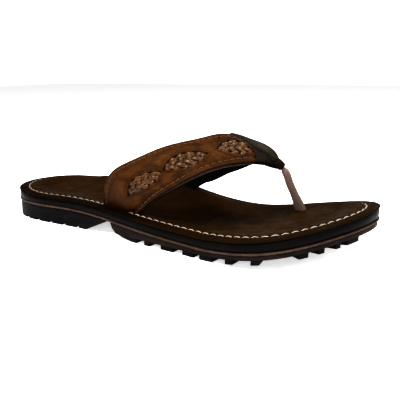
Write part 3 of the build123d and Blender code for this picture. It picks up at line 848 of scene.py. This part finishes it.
def toe_post_wrap():
    """A leather strip wound round the yoke's end and the post's head."""
    shape = Surface()
    along = WRAP_FOOT - WRAP_TOP
    axis = unit(along)
    side = unit(np.cross(axis, [0, 1, 0.2]))
    other = np.cross(axis, side)
    turn = np.linspace(0, 2 * math.pi, 48, endpoint=False)
    share = np.concatenate([[0.0], np.linspace(0.0, 1.0, 60), [1.0]])[:, None]
    groove = np.cos(share * WRAP_TURNS * 2 * math.pi - turn) ** 12
    radius = WRAP_RADIUS - 0.3 * share + 0.2 * np.sin(math.pi * share) - 0.34 * groove
    radius = radius * (1 - 0.12 * bell(share, 0.06) - 0.12 * bell(share - 1, 0.06))
    radius[[0, -1]] *= 0.45
    rings = (WRAP_TOP + along * share)[:, None]
    rings = rings + side * (radius * np.cos(turn))[..., None] * 1.08
    rings = rings + other * (radius * np.sin(turn))[..., None]
    lay = laid(rings, share * np.linalg.norm(along), turn * 3.6, 0.0)
    # Painted shade in the groove between the turns.
    shape.grid(rings, lay=lay, tone=0.8 * groove, caps=True)
    return shape.build("toe_post_wrap")


def post_path(share):
    """The post's middle line, bowed a little, at shares of its height."""
    share = share[:, None]
    middle = (POST_FOOT + POST_HEAD) / 2 + POST_BOW * 2
    path = (1 - share) ** 2 * POST_FOOT + 2 * share * (1 - share) * middle + share**2 * POST_HEAD
    path = path + bell(share - 0.88, 0.16) * np.array([0.6, 0.4, 0.0])
    return path + smooth((0.75 - share) / 0.6) * np.array([0.7, 0.3, 0.0])


def toe_post():
    """The post: a folded and sewn strap, flaring at the footbed and tucked in under the wrap."""
    shape = Surface()
    share = np.linspace(-0.14, 1.05, 90)
    path = post_path(share)
    flare = smooth((0.5 - share) / 0.5)
    along = unit(np.gradient(path, axis=0))
    wide_way = unit(np.cross(along, unit(np.cross([1.0, -0.35, 0.0], along))))
    thin_way = np.cross(wide_way, along)
    turn = np.linspace(0, 2 * math.pi, 56, endpoint=False)
    c, s = np.cos(turn), np.sin(turn)
    seam = bell(np.abs(np.angle(np.exp(1j * (turn - 1.5 * math.pi)))), 0.10)
    edge = bell(np.abs(np.abs(c) - 0.86), 0.06)
    tucked = 1 - 0.5 * smooth((share - 0.965) / 0.075)
    wide = ((2.7 + 0.2 * (1 - share) + 1.3 * flare**1.3) * tucked)[:, None]
    thin = ((2.05 + 0.2 * (1 - share) + 0.7 * flare**1.3) * tucked)[:, None]
    shapely = np.abs(c) ** 0.75 * np.sign(c), np.abs(s) ** 0.8 * np.sign(s)
    relief = 1 - 0.10 * seam[None] - 0.05 * edge[None]
    rings = path[:, None] + wide_way[:, None] * (wide * shapely[0] * relief)[..., None]
    rings = rings + thin_way[:, None] * (thin * shapely[1] * relief)[..., None]
    lay = laid(rings, run_along(path)[:, None], turn * 2.6, 0.0)
    tone = 0.7 * seam[None] + 0.35 * edge[None] + 0.9 * flare[:, None] ** 2
    shape.grid(rings, lay=lay, tone=np.clip(tone, 0, 1), caps=True)
    return shape.build("toe_post")


# ---- putting it on the bodies ----------------------------------------------------------------
def attach(piece, look, slot, nodes, bodies, start=None, end=None):
    """Gives a piece its material, hides its CAD nodes and parents it to its one body; a piece given two
    bodies only has its transform baked.
    """
    piece.data.materials.clear()
    piece.data.materials.append(look)
    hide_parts(*nodes)
    if len(bodies) == 1:
        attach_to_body(piece, bodies[0])
    else:
        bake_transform(piece)
    return piece


def attach_sole(piece, look, slot, node):
    """A sole layer across the ball line, given both sole bodies; attach bakes its transform."""
    start, end = [(x * MM, 0, 0) for x in FLEX]
    return attach(piece, look, slot, [node + "_rear", node + "_front"], ("rear_sole", "forefoot"), start, end)


def attach_strap(piece, look, slot, nodes):
    """A strap layer, given the rear sole and strap bodies; attach bakes its transform."""
    start, end = [(0, 0, z * MM) for z in STRAP_BEND]
    return attach(piece, look, slot, nodes, ("rear_sole", "straps"), start, end)


black_rubber = rubber_look(
    "lug_rubber", (0.0035, 0.0032, 0.0034), (0.011, 0.009, 0.009), 0.58, moulded=True
)
outsole_rubber = rubber_look(
    "outsole_rubber", (0.010, 0.007, 0.006), (0.024, 0.016, 0.013), 0.55, moulded=True
)
midsole_rubber = rubber_look("midsole_foam", (0.0030, 0.0024, 0.0022), (0.0075, 0.0055, 0.005), 0.52)
welt_leather = leather_look(
    "welt_leather", (0.095, 0.066, 0.052), (0.062, 0.041, 0.032), (0.022, 0.014, 0.011), 2.2,
    (0.5, 0.7), spec=0.1
)
cover_leather = footbed_look()
cream_thread = thread_look("cream_thread", (0.46, 0.40, 0.34), (0.15, 0.115, 0.085))
brown_thread = thread_look("brown_thread", (0.13, 0.06, 0.024), (0.04, 0.018, 0.008))
strap_hide = leather_look(
    "strap_leather", (0.084, 0.0345, 0.0062), (0.041, 0.0155, 0.0025), (0.008, 0.0028, 0.0006), 0.95,
    (0.34, 0.5), spec=0.1
)
braid_hide = leather_look(
    "braid_leather", (0.100, 0.046, 0.0120), (0.052, 0.0215, 0.0048), (0.007, 0.0027, 0.0007), 1.4,
    (0.18, 0.3), coat=0.32, spec=0.15
)
yoke_hide = leather_look(
    "yoke_leather", (0.030, 0.020, 0.011), (0.016, 0.010, 0.0055), (0.004, 0.003, 0.002), 1.1,
    (0.42, 0.6), spec=0.12
)
# Painted light: a lighter copy of the yoke leather for the inner half, whose top faces up into the light.
lit_yoke_hide = leather_look(
    "lit_yoke_leather", (0.050, 0.040, 0.025), (0.030, 0.024, 0.015), (0.006, 0.005, 0.003), 1.1,
    (0.42, 0.6), spec=0.12
)
padding_cloth = cloth_look("strap_padding", (0.15, 0.125, 0.115), (0.07, 0.056, 0.05), 1.5, 0.05)
lining_cloth = cloth_look("strap_lining", (0.0065, 0.0062, 0.007), (0.0025, 0.0025, 0.003), 1.8, 0.02)
post_webbing = cloth_look("post_webbing", (0.43, 0.32, 0.27), (0.17, 0.122, 0.10), 1.9, 0.05)

attach_sole(footbed_cover(), cover_leather, "footbed_leather", "footbed_leather")
attach_sole(footbed_stitching(), cream_thread, "cream_thread", "footbed_stitching")
mid = attach_sole(midsole(), midsole_rubber, "midsole_foam", "midsole")
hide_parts("footbed_foam_rear", "footbed_foam_front", "toe_post_tail", "toe_post_anchor")
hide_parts("lateral_strap_tail", "medial_strap_tail")
attach_sole(welt_strip(), welt_leather, "welt", "welt_strip")
plate = cad_copy("forefoot_outsole", ["forefoot_outsole_rear", "forefoot_outsole_front"], 0.35)
attach_sole(plate, outsole_rubber, "outsole_rubber", "forefoot_outsole")
lugs = cad_copy("forefoot_lugs", ["forefoot_lugs_rear", "forefoot_lugs_front"], 0.45)
attach_sole(lugs, black_rubber, "lug_rubber", "forefoot_lugs")
heel = cad_copy("heel_outsole", ["heel_outsole"], 0.6)
attach(heel, black_rubber, "outsole_rubber", ["heel_outsole"], ["rear_sole"])

SIDES = {
    "lateral": (Band(LATERAL_STRAP, (0, -1, 0.2), LATERAL_CROWNS, root=True, eyes=LATERAL_EYES),
                LATERAL_YOKE, (0.3, -1, 1), LATERAL_YOKE_CROWNS, yoke_hide),
    "medial": (Band(MEDIAL_STRAP, (0, 1, 0.2), MEDIAL_CROWNS, root=True, eyes=MEDIAL_EYES),
               MEDIAL_YOKE, (0.3, 1, 1), MEDIAL_YOKE_CROWNS, lit_yoke_hide),
}
for side, (band, yoke_pairs, yoke_outward, yoke_crowns, yoke_look) in SIDES.items():
    strap = side + "_strap_"
    leather = strap_leather(strap + "leather", band)
    leather = attach_strap(leather, strap_hide, "strap_leather", [strap + "leather"])
    padding = strap_layer(strap + "padding", band, LEATHER, PADDING, 0.35, 1.2)
    attach_strap(padding, padding_cloth, "strap_padding", [strap + "padding"])
    lining = strap_layer(strap + "lining", band, LINING_TOP, LINING, 0.15, 0.5)
    attach_strap(lining, lining_cloth, "strap_lining", [strap + "lining"])
    attach_strap(strap_braids(strap + "braids", band), braid_hide, "braid_leather", [strap + "braids"])
    stitching = strap_stitching(strap + "stitching", band)
    attach_strap(stitching, brown_thread, "strap_thread", [strap + "stitching"])
    yoke = yoke_half(side + "_yoke", yoke_pairs, yoke_outward, yoke_crowns, band)
    attach(yoke, yoke_look, "yoke_leather", [side + "_yoke"], ["straps"])
attach(toe_post_wrap(), yoke_hide, "yoke_leather", ["toe_post_wrap"], ["straps"])
post_nodes = ["toe_post_webbing", "toe_post_core"]
post_ends = [(0, 0, z * MM) for z in POST_BEND]
attach(toe_post(), post_webbing, "post_webbing", post_nodes, ("forefoot", "toe_post"), *post_ends)


# ---- floor, light and camera ------------------------------------------------------------------
def floor():
    """A plain pale floor."""
    mesh = bpy.data.meshes.new("floor")
    corners = [(-3, -3, 0), (3, -3, 0), (3, 3, 0), (-3, 3, 0)]
    mesh.from_pydata(corners, [], [(0, 1, 2, 3)])
    plane = bpy.data.objects.new("floor", mesh)
    bpy.context.scene.collection.objects.link(plane)
    look = Look("floor_paper", roughness=0.9, Emission_Color=(1, 1, 1, 1), Emission_Strength=0.45)
    look.done(look.mix(look.noise(40.0), (0.90, 0.90, 0.90), (0.92, 0.92, 0.92)))
    mesh.materials.append(look.material)
    plane.location.z = -0.0002


def softbox(name, place, size, power):
    """A large square light aimed at the sandal."""
    data = bpy.data.lights.new(name, "AREA")
    data.size, data.energy = size, power
    lamp = bpy.data.objects.new(name, data)
    lamp.location = place
    lamp.rotation_euler = (Vector((0, 0, 0.03)) - Vector(place)).to_track_quat("-Z", "Y").to_euler()
    bpy.context.scene.collection.objects.link(lamp)


def camera():
    """Low three-quarter view from the outer side, close enough for strong perspective."""
    turn, lift, roll = (math.radians(v) for v in (33.19, 13.18, -0.76))
    back = Vector((math.sin(turn) * math.cos(lift), -math.cos(turn) * math.cos(lift), math.sin(lift)))
    right = Vector((math.cos(turn), math.sin(turn), 0))
    up = back.cross(right)
    rolled_right = right * math.cos(roll) + up * math.sin(roll)
    rolled_up = up * math.cos(roll) - right * math.sin(roll)
    data = bpy.data.cameras.new("camera")
    data.lens, data.sensor_width = 48.42, 36.0
    data.shift_x, data.shift_y = 0.0729, -0.0159
    data.clip_start, data.clip_end = 0.01, 20
    made = bpy.data.objects.new("camera", data)
    axes = Matrix((rolled_right, rolled_up, back)).transposed().to_4x4()
    made.matrix_world = Matrix.Translation((0.20854, -0.31624, 0.1142)) @ axes
    bpy.context.scene.collection.objects.link(made)
    bpy.context.scene.camera = made


def studio():
    """White studio walls round the horizon, a dim ceiling above them."""
    world = bpy.data.worlds.new("studio")
    world.use_nodes = True
    nodes, links = world.node_tree.nodes, world.node_tree.links
    direction = nodes.new("ShaderNodeTexCoord")
    split = nodes.new("ShaderNodeSeparateXYZ")
    fade = nodes.new("ShaderNodeMapRange")
    fade.interpolation_type = "SMOOTHSTEP"
    for key, value in {"From Min": 0.16, "From Max": 0.5, "To Min": 1.0, "To Max": 0.12}.items():
        fade.inputs[key].default_value = value
    links.new(direction.outputs["Generated"], split.inputs[0])
    links.new(split.outputs["Z"], fade.inputs["Value"])
    links.new(fade.outputs["Result"], nodes["Background"].inputs["Strength"])
    nodes["Background"].inputs["Color"].default_value = (1, 1, 1, 1)
    bpy.context.scene.world = world


floor()
studio()
bpy.context.scene.view_settings.view_transform = "Standard"
bpy.context.scene.view_settings.look = "Very High Contrast"
bpy.context.scene.view_settings.exposure = -0.35
softbox("key", (-0.35, -0.55, 0.95), 0.45, 15)
softbox("top", (0.25, 0.35, 1.1), 0.6, 12)
softbox("side", (0.95, -0.1, 0.7), 0.4, 5.5)
softbox("front", (0.45, -0.85, 0.3), 0.6, 5)
camera()
